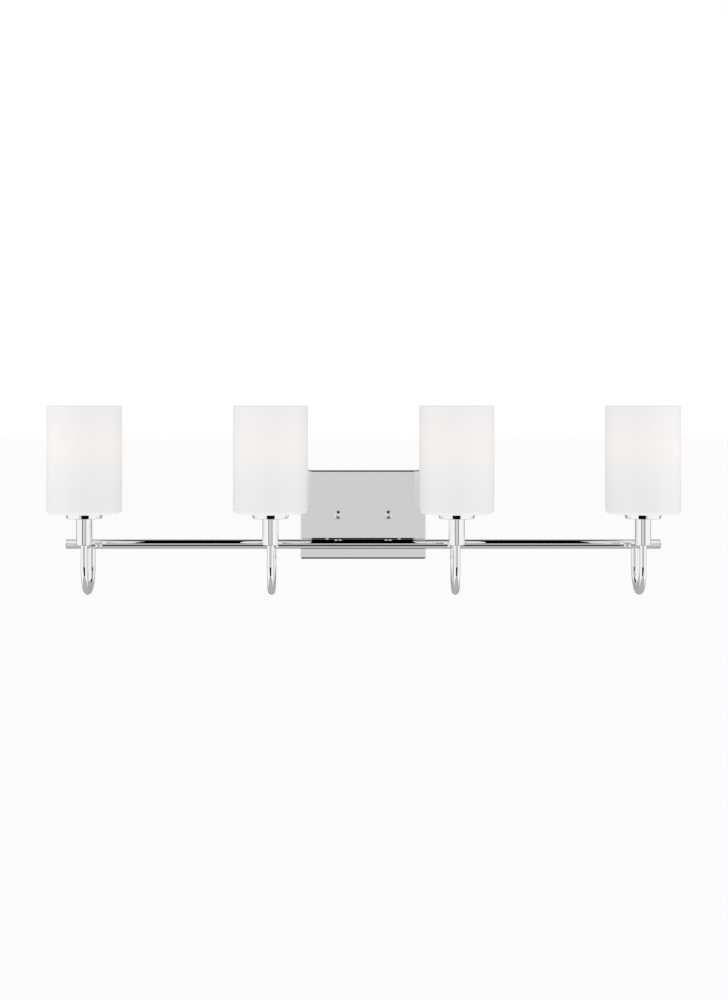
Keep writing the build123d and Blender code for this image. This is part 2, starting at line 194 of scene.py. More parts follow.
def makeStudio():
    world = bpy.data.worlds.new("studio")
    world.use_nodes = True
    bpy.context.scene.world = world
    t = Tree(world.node_tree)
    parts = world.node_tree.nodes
    direction = t.add("TexCoord", output="Generated")
    across = t.add("SeparateXYZ", None, {0: direction}, output=0)
    along = t.add("SeparateXYZ", None, {0: direction}, output=1)
    up = t.add("SeparateXYZ", None, {0: direction}, output=2)
    degrees = 180 / math.pi
    aside = t.maths("ARCTAN2", abs(across), 0 - along) * degrees
    height = t.maths("ARCSINE", up) * degrees
    s = studio
    flank = t.spread(aside, *s["frontEdge"], s["front"], s["flank"])
    level = t.spread(aside, *s["rearEdge"], 0, 1)
    ringed = flank * (1 - level) + s["rear"] * level
    sunk = t.spread(0 - height, -s["belowEdge"][0], -s["belowEdge"][1], 0, 1)
    seen = ringed * (1 - sunk) + s["below"] * sunk
    glossy = t.add("Background", None, {"Color": t.add("CombineColor", None, {0: seen, 1: seen, 2: seen})})
    soft = studio["soft"] + up * 0.03
    lamp = t.add("Background", None, {"Color": t.add("CombineColor", None, {0: soft, 1: soft, 2: soft})})
    white = t.add("Background", None, {"Color": grey(1.0)})
    mirrored = t.add("LightPath", output="Is Glossy Ray")
    looking = t.add("LightPath", output="Is Camera Ray")
    lit = t.add("MixShader", None, {0: mirrored, 1: lamp, 2: glossy})
    shown = t.add("MixShader", None, {0: looking, 1: lit, 2: white})
    t.put(parts["World Output"].inputs["Surface"], shown)


def stageSheet(name, corners, level, seenBy):
    # a flat four-cornered sheet that belongs to the studio
    bm = bmesh.new()
    bm.faces.new([bm.verts.new(c) for c in corners])
    data = bpy.data.meshes.new(name)
    bm.to_mesh(data)
    bm.free()
    sheet = bpy.data.objects.new(name, data)
    bpy.context.scene.collection.objects.link(sheet)
    finish = Finish(name, baseColor=grey(min(level, 0.95)), roughness=1.0, specularLevel=0.0)
    if level > 0:
        finish.use("emissionColor", grey(1.0))
        finish.use("emissionStrength", level * 0.25)
    data.materials.append(finish.material)
    sheet.visible_camera = "camera" in seenBy
    sheet.visible_diffuse = "diffuse" in seenBy
    sheet.visible_glossy = "glossy" in seenBy
    sheet.visible_transmission = False
    sheet.visible_shadow = False
    return sheet


# dark flats that only the chrome sees: one low in front, one overhead, a strip just below the
# backplate and two upright at the sides
darkFlats = {
    "low": {"half": 0.60, "near": (-1.33, -0.22), "far": (-1.33, -1.20)},
    "high": {"half": 0.50, "near": (-1.25, 0.33), "far": (0.56, 1.25)},
    "under": {"half": 0.0865, "near": (-0.031, -0.0625), "far": (-0.012, -0.0625)},
    "upright": {"place": 1.18, "depth": -2.7, "width": 0.46, "height": 2.2},
}


def makeStage():
    drop = -studio["floorDrop"]
    far = 60
    floor = [(-far, -far, drop), (far, -far, drop), (far, far, drop), (-far, far, drop)]
    stageSheet("floor", floor, 1.0, seenBy=("camera", "diffuse"))
    for name in ("low", "high", "under"):
        flat = darkFlats[name]
        half = flat["half"]
        (y1, z1), (y2, z2) = flat["near"], flat["far"]
        corners = [(-half, y1, z1), (half, y1, z1), (half, y2, z2), (-half, y2, z2)]
        stageSheet(name + "Flat", corners, 0.0, seenBy=("glossy",))
    flat = darkFlats["upright"]
    for side, sign in sides.items():
        inner = sign * (flat["place"] - flat["width"] / 2)
        outer = sign * (flat["place"] + flat["width"] / 2)
        top = flat["height"] / 2
        corners = [(inner, flat["depth"], -top), (outer, flat["depth"], -top)]
        corners += [(outer, flat["depth"], top), (inner, flat["depth"], top)]
        stageSheet(side + "Flat", corners, 0.0, seenBy=("glossy",))


sideLights = {"place": (1.30, -0.35, 0.15), "size": 0.5, "power": 0.55}


def makeSideLights():
    # a soft box past each end of the bar, which brightens the outer shades
    for side, sign in sides.items():
        data = bpy.data.lights.new(side + "Light", "AREA")
        data.size = sideLights["size"]
        data.energy = sideLights["power"]
        light = bpy.data.objects.new(side + "Light", data)
        x, y, z = sideLights["place"]
        light.location = (sign * x, y, z)
        light.rotation_euler = (Vector((-sign * x, -0.1 - y, 0.08 - z))).to_track_quat("-Z", "Y").to_euler()
        light.visible_camera = False
        light.visible_glossy = False
        bpy.context.scene.collection.objects.link(light)


makeCamera()
makeStudio()
makeStage()
makeSideLights()
print("camera, studio and floor made")


# materials

chromeLook = {"tint": (0.94, 0.945, 0.95), "polish": 0.02, "haze": 0.03, "ripple": 0.000004}


def polishedChrome():
    look = chromeLook
    f = Finish("polishedChrome", metallic=1.0)
    f.use("baseColor", colour(*look["tint"]))
    wiping = f.noise(f.where(scale=(30, 160, 160)), 1, detail=4)
    haze = f.noise(f.where(), 45, detail=2)
    f.use("roughness", look["polish"] + look["haze"] * wiping * haze)
    f.bumps(f.noise(f.where(), 70, detail=1), look["ripple"])
    return f.material


innerLook = {"tint": (0.62, 0.62, 0.60), "stain": (0.46, 0.45, 0.42)}


def dullPlating():
    # thin plating on the hidden side of a pressing
    f = Finish("dullPlating", metallic=1.0)
    blotch = f.spread(f.noise(f.where(), 28, detail=6), 0.4, 0.7, 0, 1)
    f.use("baseColor", f.blend(blotch, colour(*innerLook["tint"]), colour(*innerLook["stain"])))
    f.use("roughness", 0.34 + 0.2 * blotch)
    f.bumps(f.noise(f.where(), 900, detail=2), 0.00003)
    return f.material


glassLook = {
    "white": (0.92, 0.92, 0.917),
    "grain": 5200,
    "grainDepth": 0.000012,
    "roughness": 0.42,
    "glow": (1.0, 0.34, 0.10),
    "paintedGlowLevel": 0.052,
    "paintedGlowReach": 0.034,
    "fill": 0.035,  # painted light: even emission through the glass, least at its foot
}


def etchedGlass():
    # opal glass etched to a satin; its emission is painted light, a warm glow at the globe's height and a
    # fill rising from the foot, standing in for the bulb shining through
    look = glassLook
    f = Finish("etchedGlass", ior=1.5)
    cloud = f.noise(f.where(), 22, detail=3)
    grain = f.noise(f.where(), look["grain"], detail=2)
    white = colour(*look["white"])
    f.use("baseColor", f.blend(cloud, white, grey(look["white"][0] - 0.012)))
    f.use("roughness", look["roughness"] + 0.1 * grain)
    f.bumps(grain, look["grainDepth"])
    lowest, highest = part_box("bulb_glass_1")
    globeHeight = highest.z - (highest.x - lowest.x) / 2
    z = f.add("SeparateXYZ", None, {0: f.where()}, output=2)
    # painted glow: a band of warm emission round the height of the bulb's globe
    away = (z - globeHeight) / look["paintedGlowReach"]
    glow = f.maths("EXPONENT", 0 - away * away)
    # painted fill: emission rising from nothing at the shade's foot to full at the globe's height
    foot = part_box("shade_1")[0]
    fill = f.spread(z, foot.z, globeHeight, 0, look["fill"] / look["paintedGlowLevel"])
    paintedFillColour = f.add("CombineColor", None, {0: fill, 1: fill, 2: fill})
    f.use("emissionColor", f.add("Mix", {"data_type": "RGBA", "blend_type": "ADD"},
                                 {0: glow, 6: paintedFillColour, 7: colour(*look["glow"])}, output=2))
    f.use("emissionStrength", look["paintedGlowLevel"])
    return f.material


zincLook = {"clean": (0.66, 0.665, 0.65), "stained": (0.52, 0.50, 0.42)}


def zincSteel():
    look = zincLook
    f = Finish("zincSteel", metallic=1.0)
    spangle = f.add("TexVoronoi", None, {"Vector": f.where(), "Scale": 420})
    stain = f.spread(f.noise(f.where(), 60, detail=5), 0.45, 0.75, 0, 1)
    f.use("baseColor", f.blend(stain, colour(*look["clean"]), colour(*look["stained"])))
    drawn = f.noise(f.where(scale=(12, 900, 900)), 1, detail=3)
    f.use("roughness", 0.3 + 0.12 * spangle + 0.1 * drawn)
    f.bumps(drawn, 0.00002)
    return f.material


greenLook = {"paint": (0.05, 0.27, 0.10), "worn": (0.40, 0.44, 0.36)}


def greenScrew():
    look = greenLook
    f = Finish("greenScrew", metallic=0.85)
    wear = f.spread(f.noise(f.where(), 700, detail=4), 0.52, 0.7, 0, 1)
    f.use("baseColor", f.blend(wear, colour(*look["paint"]), colour(*look["worn"])))
    f.use("roughness", 0.34 + 0.15 * wear)
    f.bumps(f.noise(f.where(), 1500), 0.00001)
    return f.material


porcelainLook = {"glaze": (0.84, 0.83, 0.80), "speck": (0.62, 0.58, 0.50)}


def porcelain():
    look = porcelainLook
    f = Finish("porcelain", coatWeight=0.6, coatRoughness=0.06, roughness=0.32)
    speck = f.spread(f.noise(f.where(), 1300, detail=2), 0.68, 0.74, 0, 1)
    f.use("baseColor", f.blend(speck, colour(*look["glaze"]), colour(*look["speck"])))
    f.bumps(f.noise(f.where(), 160, detail=3), 0.00005)
    return f.material


brassLook = {"bright": (0.86, 0.66, 0.33), "tarnished": (0.62, 0.42, 0.19)}


def brass():
    look = brassLook
    f = Finish("brass", metallic=1.0)
    tarnish = f.spread(f.noise(f.where(), 140, detail=5), 0.45, 0.75, 0, 1)
    f.use("baseColor", f.blend(tarnish, colour(*look["bright"]), colour(*look["tarnished"])))
    f.use("roughness", 0.22 + 0.2 * tarnish)
    f.bumps(f.noise(f.where(scale=(1, 1, 6)), 300), 0.00001)
    return f.material


ringPlasticLook = {"light": (0.80, 0.79, 0.765), "dark": (0.70, 0.69, 0.66)}


def ringPlastic():
    look = ringPlasticLook
    f = Finish("ringPlastic", roughness=0.4)
    flow = f.noise(f.where(scale=(1, 1, 4)), 110, detail=4)
    f.use("baseColor", f.blend(flow, colour(*look["light"]), colour(*look["dark"])))
    f.use("roughness", 0.34 + 0.14 * flow)
    f.bumps(f.noise(f.where(), 1900, detail=2), 0.00002)
    return f.material


gasketLook = {"dark": (0.75, 0.75, 0.74), "light": (0.86, 0.86, 0.85)}


def softGasket():
    look = gasketLook
    f = Finish("softGasket")
    cell = f.add("TexVoronoi", None, {"Vector": f.where(), "Scale": 1600})
    f.use("baseColor", f.blend(cell, colour(*look["dark"]), colour(*look["light"])))
    f.use("roughness", 0.7 + 0.2 * cell)
    f.bumps(cell, 0.00004)
    return f.material


fibreLook = {"light": (0.74, 0.73, 0.70), "dark": (0.60, 0.58, 0.54)}


def fibreWasher():
    look = fibreLook
    f = Finish("fibreWasher")
    strands = f.noise(f.where(scale=(1, 3, 1)), 800, detail=5)
    f.use("baseColor", f.blend(strands, colour(*look["light"]), colour(*look["dark"])))
    f.use("roughness", 0.68 + 0.2 * strands)
    f.bumps(strands, 0.00006)
    return f.material


bulbLook = {"white": (0.55, 0.54, 0.50), "light": (1.0, 0.84, 0.60), "neck": (0.30, 0.22, 0.14),
            "strength": 0.95}


def bulbGlass():
    # softly frosted glass, brightest round the globe and cooler at the neck
    f = Finish("bulbGlass", ior=1.5)
    lowest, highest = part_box("bulb_glass_1")
    z = f.add("SeparateXYZ", None, {0: f.where()}, output=2)
    lit = f.spread(z, lowest.z, lowest.z + 0.5 * (highest.z - lowest.z), 0.25, 1)
    mottle = f.noise(f.where(), 90, detail=3)
    f.use("baseColor", colour(*bulbLook["white"]))
    f.use("roughness", 0.3 + 0.12 * mottle)
    f.use("emissionColor", f.blend(lit, colour(*bulbLook["neck"]), colour(*bulbLook["light"])))
    f.use("emissionStrength", bulbLook["strength"])
    f.bumps(f.noise(f.where(), 2400), 0.000006)
    return f.material


bulbCapLook = {"bright": (0.80, 0.81, 0.82), "rubbed": (0.60, 0.60, 0.60)}


def bulbCap():
    look = bulbCapLook
    f = Finish("bulbCap", metallic=1.0)
    rub = f.spread(f.noise(f.where(scale=(1, 1, 5)), 260, detail=4), 0.4, 0.7, 0, 1)
    f.use("baseColor", f.blend(rub, colour(*look["bright"]), colour(*look["rubbed"])))
    f.use("roughness", 0.2 + 0.18 * rub)
    f.bumps(f.noise(f.where(), 500), 0.00001)
    return f.material


insulatorLook = {"black": (0.012, 0.012, 0.014), "swirl": (0.04, 0.035, 0.04)}


def blackInsulator():
    look = insulatorLook
    f = Finish("blackInsulator", coatWeight=0.5)
    swirl = f.noise(f.where(), 420, detail=4)
    f.use("baseColor", f.blend(swirl, colour(*look["black"]), colour(*look["swirl"])))
    f.use("roughness", 0.12 + 0.12 * swirl)
    f.bumps(swirl, 0.00004)
    return f.material


sleeveLook = {"black": (0.035, 0.035, 0.037), "scuffed": (0.075, 0.072, 0.07)}


def leadSleeve():
    look = sleeveLook
    f = Finish("leadSleeve")
    scuff = f.noise(f.where(), 350, detail=3)
    f.use("baseColor", f.blend(scuff, colour(*look["black"]), colour(*look["scuffed"])))
    f.use("roughness", 0.38 + 0.15 * scuff)
    f.bumps(f.noise(f.where(), 1200), 0.00003)
    return f.material


connectorLook = {"light": (0.72, 0.28, 0.04), "dark": (0.60, 0.20, 0.03)}


def connectorPlastic():
    look = connectorLook
    f = Finish("connectorPlastic")
    flow = f.noise(f.where(scale=(3, 1, 1)), 200, detail=4)
    f.use("baseColor", f.blend(flow, colour(*look["light"]), colour(*look["dark"])))
    f.use("roughness", 0.42 + 0.16 * flow)
    f.bumps(f.noise(f.where(), 1500), 0.00003)
    return f.material


finishes = {
    "polished_chrome": polishedChrome(),
    "etched_glass": etchedGlass(),
    "zinc_steel": zincSteel(),
    "green_screw": greenScrew(),
    "porcelain": porcelain(),
    "brass": brass(),
    "ring_plastic": ringPlastic(),
    "soft_gasket": softGasket(),
    "fibre_washer": fibreWasher(),
    "bulb_glass": bulbGlass(),
    "bulb_cap": bulbCap(),
    "lead_sleeve": leadSleeve(),
    "connector_plastic": connectorPlastic(),
}
innerPlating = dullPlating()
insulatorGlass = blackInsulator()
print("materials made:", len(finishes) + 2)


# modelling helpers

def clean(bm):
    bmesh.ops.remove_doubles(bm, verts=bm.verts, dist=0.000002)
    bmesh.ops.dissolve_degenerate(bm, edges=bm.edges, dist=0.0000005)
    bmesh.ops.recalc_face_normals(bm, faces=bm.faces)


def finishPiece(bm, name, slot, body, stands=(), sharp=40, extra=()):
    # the mesh becomes an object that rides on its body and stands for its CAD nodes
    clean(bm)
    for face in bm.faces:
        face.smooth = True
    data = bpy.data.meshes.new(name)
    bm.to_mesh(data)
    bm.free()
    data.set_sharp_from_angle(angle=math.radians(sharp))
    piece = bpy.data.objects.new(name, data)
    bpy.context.scene.collection.objects.link(piece)
    data.materials.append(finishes[slot])
    for material in extra:
        data.materials.append(material)
    weighted = piece.modifiers.new("evenNormals", "WEIGHTED_NORMAL")
    weighted.keep_sharp = True
    weighted.weight = 80
    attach(piece, body)
    if stands:
        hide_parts(*stands)
    return piece


def roundCorners(bm, verts, radius, segments=5):
    kept = [v for v in verts if v.is_valid]
    bmesh.ops.bevel(bm, geom=kept, offset=radius, offset_type="OFFSET", affect="VERTICES",
                    segments=segments, profile=0.5, material=-1)


def turned(bm, outline, rounds=(), steps=96, closed=True, place=(0, 0, 0), turn=None, segments=5):
    # spins an outline of (radius, height) points about the upright through place;
    # rounds holds (point number, radius) for its rounded corners
    verts = [bm.verts.new((radius, 0, height)) for radius, height in outline]
    edges = [bm.edges.new(pair) for pair in zip(verts, verts[1:])]
    if closed:
        edges.append(bm.edges.new((verts[-1], verts[0])))
    before = set(bm.verts) - set(verts)
    for number, radius in rounds:
        roundCorners(bm, [verts[number]], radius, segments)
    mine = [v for v in bm.verts if v not in before]
    ring = mine + list({e for v in mine for e in v.link_edges})
    bmesh.ops.spin(bm, geom=ring, cent=(0, 0, 0), axis=(0, 0, 1), dvec=(0, 0, 0),
                   angle=2 * math.pi, steps=steps, use_merge=True, use_duplicate=False)
    mine = [v for v in bm.verts if v not in before]
    if turn is not None:
        bmesh.ops.transform(bm, matrix=turn, verts=mine)
    bmesh.ops.translate(bm, vec=Vector(place), verts=mine)
    return mine


def thread(bm, radius, depth, pitch, foot, turns, place=(0, 0, 0), turn=None, perTurn=32, inward=False):
    # a helical ridge, fading out at both ends
    before = set(bm.verts)
    out = -depth if inward else depth
    sink = depth * (0.4 if inward else -0.4)
    half = pitch * 0.46
    section = [(radius + sink, -half), (radius + out, -pitch * 0.07), (radius + out, pitch * 0.07),
               (radius + sink, half)]
    verts = [bm.verts.new((r, 0, foot + z)) for r, z in section]
    edges = [bm.edges.new(pair) for pair in zip(verts, verts[1:] + verts[:1])]
    steps = int(turns * perTurn)
    bmesh.ops.spin(bm, geom=verts + edges, cent=(0, 0, 0), axis=(0, 0, 1), dvec=(0, 0, pitch / perTurn),
                   angle=2 * math.pi * steps / perTurn, steps=steps, use_duplicate=False)
    mine = [v for v in bm.verts if v not in before]
    rise = pitch * steps / perTurn
    for v in mine:
        flat = Vector((v.co.x, v.co.y))
        along = v.co.z - foot
        # the end of the ridge sinks back over the last part of a turn
        fade = min(1, max(0, along + half) / (pitch * 0.6), max(0, rise + half - along) / (pitch * 0.6))
        root = radius + sink
        reach = root + (flat.length - root) * fade
        flat = flat.normalized() * reach
        v.co.x, v.co.y = flat
    ends = [e for e in bm.edges if e.is_boundary and e.verts[0] in set(mine)]
    bmesh.ops.holes_fill(bm, edges=ends, sides=4)
    if turn is not None:
        bmesh.ops.transform(bm, matrix=turn, verts=mine)
    bmesh.ops.translate(bm, vec=Vector(place), verts=mine)


def hexNut(bm, across, bore, height, foot, place=(0, 0, 0), turn=None):
    # six-sided nut with its corners turned back at both faces
    flat = across / 2
    crown = flat * 0.96
    lean = math.tan(math.radians(30))
    before = set(bm.verts)
    loops = []

    def ring(radiusAt, heightAt):
        made = bmesh.ops.create_circle(bm, segments=48, radius=1, cap_ends=False)["verts"]
        for v in made:
            angle = math.atan2(v.co.y, v.co.x)
            around = math.remainder(angle, math.pi / 3)
            corner = flat / math.cos(around)
            radius = radiusAt(corner)
            v.co = (radius * math.cos(angle), radius * math.sin(angle), heightAt(corner))
        loops.append(list({e for v in made for e in v.link_edges}))

    def dip(corner):
        return (corner - crown) * lean

    ring(lambda c: bore / 2, lambda c: foot)
    ring(lambda c: crown, lambda c: foot)
    ring(lambda c: c, lambda c: foot + dip(c))
    ring(lambda c: c, lambda c: foot + height - dip(c))
    ring(lambda c: crown, lambda c: foot + height)
    ring(lambda c: bore / 2, lambda c: foot + height)
    for first, second in zip(loops, loops[1:] + loops[:1]):
        bmesh.ops.bridge_loops(bm, edges=first + second)
    mine = [v for v in bm.verts if v not in before]
    if turn is not None:
        bmesh.ops.transform(bm, matrix=turn, verts=mine)
    bmesh.ops.translate(bm, vec=Vector(place), verts=mine)


def middle(node):
    lowest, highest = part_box(node)
    return (lowest + highest) / 2


outward = Matrix.Rotation(math.radians(90), 4, "X")  # turns +Z to -Y, out of the wall
alongBar = Matrix.Rotation(math.radians(90), 4, "Y")  # turns +Z to +X


# backplate

plateLook = {"gauge": 1.0 * mm, "bend": 1.8 * mm, "corner": 2.4 * mm, "segments": 8}


def makeBackplate():
    look = plateLook
    lowest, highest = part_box("backplate")
    size = highest - lowest
    bm = bmesh.new()
    bmesh.ops.create_cube(bm, size=1)
    bmesh.ops.scale(bm, vec=size, verts=bm.verts)
    bmesh.ops.translate(bm, vec=(lowest + highest) / 2, verts=bm.verts)
    uprights = [e for e in bm.edges if abs((e.verts[0].co - e.verts[1].co).y) > 0.001]
    bmesh.ops.bevel(bm, geom=uprights, offset=look["corner"], offset_type="OFFSET", affect="EDGES",
                    segments=look["segments"], profile=0.5, material=-1)
    front = [e for e in bm.edges if all(abs(v.co.y - lowest.y) < 1e-6 for v in e.verts)]
    bmesh.ops.bevel(bm, geom=front, offset=look["bend"], offset_type="OFFSET", affect="EDGES",
                    segments=look["segments"], profile=0.5, material=-1)
    face = [f for f in bm.faces if f.normal.y < -0.999 and len(f.verts) > 8]
    bmesh.ops.inset_region(bm, faces=face, thickness=0.4 * mm, depth=0)
    rear = [f for f in bm.faces if f.normal.y > 0.999]
    bmesh.ops.delete(bm, geom=rear, context="FACES_ONLY")
    piece = finishPiece(bm, "backplatePan", "polished_chrome", "fixture", ["backplate"], extra=[innerPlating])
    wall = piece.modifiers.new("gauge", "SOLIDIFY")
    wall.thickness = look["gauge"]
    wall.offset = -1
    wall.use_even_offset = True
    wall.material_offset = 1
    wall.material_offset_rim = 0
    return piece


# knobs

knobLook = {
    "neck": 4.2 * mm,
    "neckHeight": 1.8 * mm,
    "shoulder": 1.2 * mm,
    "side": 3.2 * mm,
    "crown": 0.36,  # 1 is a half ball, less is a flatter face
    "bore": 2.2 * mm,
}


def makeKnob(side):
    look = knobLook
    lowest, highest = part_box("knob_" + side)
    centre = (lowest + highest) / 2
    foot = -highest.y
    tip = -lowest.y
    widest = (highest.x - lowest.x) / 2
    bm = bmesh.new()
    first = foot + look["neckHeight"]
    second = first + look["shoulder"]
    third = second + look["side"]
    outline = [(look["bore"], foot), (look["neck"], foot), (look["neck"], first)]
    outline += [(widest, second), (widest, third)]
    rise = tip - third
    dome = 12
    for step in range(1, dome):
        angle = math.pi / 2 * step / dome
        outline.append((widest * math.cos(angle) ** look["crown"], third + rise * math.sin(angle)))
    outline.append((0, tip))
    rounds = [(1, 0.2 * mm), (3, 0.35 * mm)]
    turned(bm, outline, rounds, steps=64, closed=False, place=(centre.x, 0, centre.z),
           turn=outward, segments=4)
    return finishPiece(bm, "knobCap_" + side, "polished_chrome", "knob_" + side, ["knob_" + side])


washerLook = {
    "knobBore": 2.3 * mm,
    "knobEdge": 0.15 * mm,
    "ringPlay": 2.0 * mm,
    "ringEdge": 0.2 * mm,
    "postBore": 4.9 * mm,
    "postEdge": 0.25 * mm,
}


def makeKnobWasher(side):
    lowest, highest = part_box("knob_washer_" + side)
    centre = (lowest + highest) / 2
    bm = bmesh.new()
    outer = (highest.x - lowest.x) / 2
    bore = washerLook["knobBore"]
    outline = [(bore, -highest.y), (outer, -highest.y), (outer, -lowest.y), (bore, -lowest.y)]
    edge = washerLook["knobEdge"]
    turned(bm, outline, [(1, edge), (2, edge)], steps=48, place=(centre.x, 0, centre.z),
           turn=outward, segments=3)
    body = "knob_" + side + "_travel"
    return finishPiece(bm, "knobWasher_" + side, "fibre_washer", body, ["knob_washer_" + side])


# bar, posts and arms

barLook = {"wall": 1.3 * mm, "joint": 0.12 * mm}


def makeBar():
    lowest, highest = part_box("bar_tube")
    centre = (lowest + highest) / 2
    radius = (highest.z - lowest.z) / 2
    inner = radius - barLook["wall"]
    gap = barLook["joint"]
    bm = bmesh.new()
    outline = [(inner, lowest.x), (radius, lowest.x), (radius, highest.x), (inner, highest.x)]
    turned(bm, outline, [(1, gap), (2, gap)], steps=96, place=(0, centre.y, centre.z),
           turn=alongBar, segments=3)
    return finishPiece(bm, "barTube", "polished_chrome", "fixture", ["bar_tube"])


plugLook = {
    "play": 0.05 * mm,
    "chamfer": 0.5 * mm,
    "dish": 0.35 * mm,
    "dishRim": 0.62,  # shares of the radius
    "dishFoot": 0.56,
    "dishRound": 0.15 * mm,
}


def makeEndPlug(side, sign):
    look = plugLook
    lowest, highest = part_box("end_plug_" + side)
    bar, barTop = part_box("bar_tube")
    centre = (lowest + highest) / 2
    radius = (highest.z - lowest.z) / 2
    lip = (highest.x - barTop.x) if sign > 0 else (bar.x - lowest.x)
    end = max(abs(lowest.x), abs(highest.x))
    foot = end - (highest.x - lowest.x)
    bm = bmesh.new()
    spigot = radius - barLook["wall"] - look["play"]
    outline = [(0, foot), (spigot, foot), (spigot, end - lip), (radius, end - lip), (radius, end)]
    dish = end - look["dish"]
    outline += [(radius * look["dishRim"], end), (radius * look["dishFoot"], dish), (0, dish)]
    rounds = [(3, barLook["joint"]), (4, look["chamfer"])]
    rounds += [(5, look["dishRound"]), (6, look["dishRound"])]
    turned(bm, outline, rounds, steps=64, closed=False, place=(0, 0, 0), turn=alongBar, segments=3)
    if sign < 0:
        bmesh.ops.scale(bm, vec=(-1, 1, 1), verts=bm.verts)
    bmesh.ops.translate(bm, vec=(0, centre.y, centre.z), verts=bm.verts)
    return finishPiece(bm, "endPlug_" + side, "polished_chrome", "fixture", ["end_plug_" + side])


def brazeCollar(bm, radius, barRadius, leg, place, turn):
    # the small fillet where a tube meets the bar: three loops that follow both surfaces
    before = set(bm.verts)
    loops = []
    for part in range(5):
        share = part / 4
        bend = (1 - math.sin(math.pi / 2 * share), 1 - math.cos(math.pi / 2 * share))
        made = bmesh.ops.create_circle(bm, segments=48, radius=1, cap_ends=False)["verts"]
        for v in made:
            angle = math.atan2(v.co.y, v.co.x)
            out = radius + leg * bend[1]
            level = math.sqrt(max(0, barRadius ** 2 - (out * math.sin(angle)) ** 2))
            v.co = (out * math.cos(angle), out * math.sin(angle), level + leg * bend[0])
        loops.append(list({e for v in made for e in v.link_edges}))
    for first, second in zip(loops, loops[1:]):
        bmesh.ops.bridge_loops(bm, edges=first + second)
    mine = [v for v in bm.verts if v not in before]
    bmesh.ops.transform(bm, matrix=turn, verts=mine)
    bmesh.ops.translate(bm, vec=Vector(place), verts=mine)


postLook = {
    "stem": 0.78,  # share of the post's radius
    "bore": 3.5 * mm,
    "saddle": 0.45,  # share of the bar's radius
    "stemRound": 0.4 * mm,
    "footRound": 0.5 * mm,
    "threadDepth": 0.25 * mm,
    "pitch": 1.0 * mm,
    "threadStart": 0.6 * mm,
    "turns": 6,
}


def makePost(side):
    look = postLook
    lowest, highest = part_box("post_" + side)
    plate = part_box("backplate")[0]
    bar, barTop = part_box("bar_tube")
    centre = (lowest + highest) / 2
    radius = (highest.x - lowest.x) / 2
    barY = (bar.y + barTop.y) / 2
    barRadius = (barTop.z - bar.z) / 2
    stem = radius * look["stem"]
    bore = look["bore"]
    bm = bmesh.new()
    front = -plate.y
    saddle = -barY - barRadius * look["saddle"]
    outline = [(bore, -highest.y), (stem, -highest.y), (stem, front), (radius, front)]
    outline += [(radius, saddle), (bore, saddle)]
    rounds = [(1, look["stemRound"]), (3, look["footRound"])]
    turned(bm, outline, rounds, steps=64, place=(centre.x, 0, centre.z), turn=outward, segments=3)
    thread(bm, stem, look["threadDepth"], look["pitch"], -highest.y + look["threadStart"], look["turns"],
           place=(centre.x, 0, centre.z), turn=outward)
    return finishPiece(bm, "standoffPost_" + side, "polished_chrome", "fixture", ["post_" + side])


armLook = {"steps": 40, "around": 48, "braze": 0.8 * mm, "start": 0.5}  # start inside the bar


def makeArm(number):
    # hook: down from the bar, round the bend, and up into the column
    lowest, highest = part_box(f"arm_{number}")
    bar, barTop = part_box("bar_tube")
    barCentre = (bar + barTop) / 2
    barRadius = (barTop.z - bar.z) / 2
    radius = (highest.x - lowest.x) / 2
    x = (lowest.x + highest.x) / 2
    rearY = highest.y - radius
    frontY = lowest.y + radius
    bendRadius = (rearY - frontY) / 2
    bendZ = lowest.z + radius + bendRadius
    bm = bmesh.new()
    ring = bmesh.ops.create_circle(bm, segments=armLook["around"], radius=radius, cap_ends=False)["verts"]
    start = barCentre.z - barRadius * armLook["start"]
    bmesh.ops.translate(bm, vec=(x, rearY, start), verts=ring)
    edges = list({e for v in ring for e in v.link_edges})

    def onward(edges, move):
        grown = bmesh.ops.extrude_edge_only(bm, edges=edges)["geom"]
        verts = [g for g in grown if isinstance(g, bmesh.types.BMVert)]
        bmesh.ops.translate(bm, vec=move, verts=verts)
        return [g for g in grown if isinstance(g, bmesh.types.BMEdge)
                and g.verts[0] in verts and g.verts[1] in verts]

    edges = onward(edges, (0, 0, bendZ - start))
    ringNow = edges + list({v for e in edges for v in e.verts})
    turnedOn = bmesh.ops.spin(bm, geom=ringNow, cent=(x, rearY - bendRadius, bendZ), axis=(1, 0, 0),
                              dvec=(0, 0, 0), angle=-math.pi, steps=armLook["steps"], use_duplicate=False)
    edges = [g for g in turnedOn["geom_last"] if isinstance(g, bmesh.types.BMEdge)]
    edges = onward(edges, (0, 0, highest.z - bendZ))
    bmesh.ops.holes_fill(bm, edges=[e for e in bm.edges if e.is_boundary], sides=0)
    down = Matrix.Rotation(math.pi, 4, "X")
    under = (x, rearY, barCentre.z)
    brazeCollar(bm, radius - 0.01 * mm, barRadius, armLook["braze"], under, down)
    return finishPiece(bm, f"hookArm_{number}", "polished_chrome", "fixture", [f"arm_{number}"])


# columns and discs

columnLook = {
    "wall": 1.5 * mm,
    "floor": 4.0 * mm,
    "play": 0.05 * mm,
    "footRound": 1.0 * mm,
    "holeRound": 0.3 * mm,
    "topRound": 0.12 * mm,
}


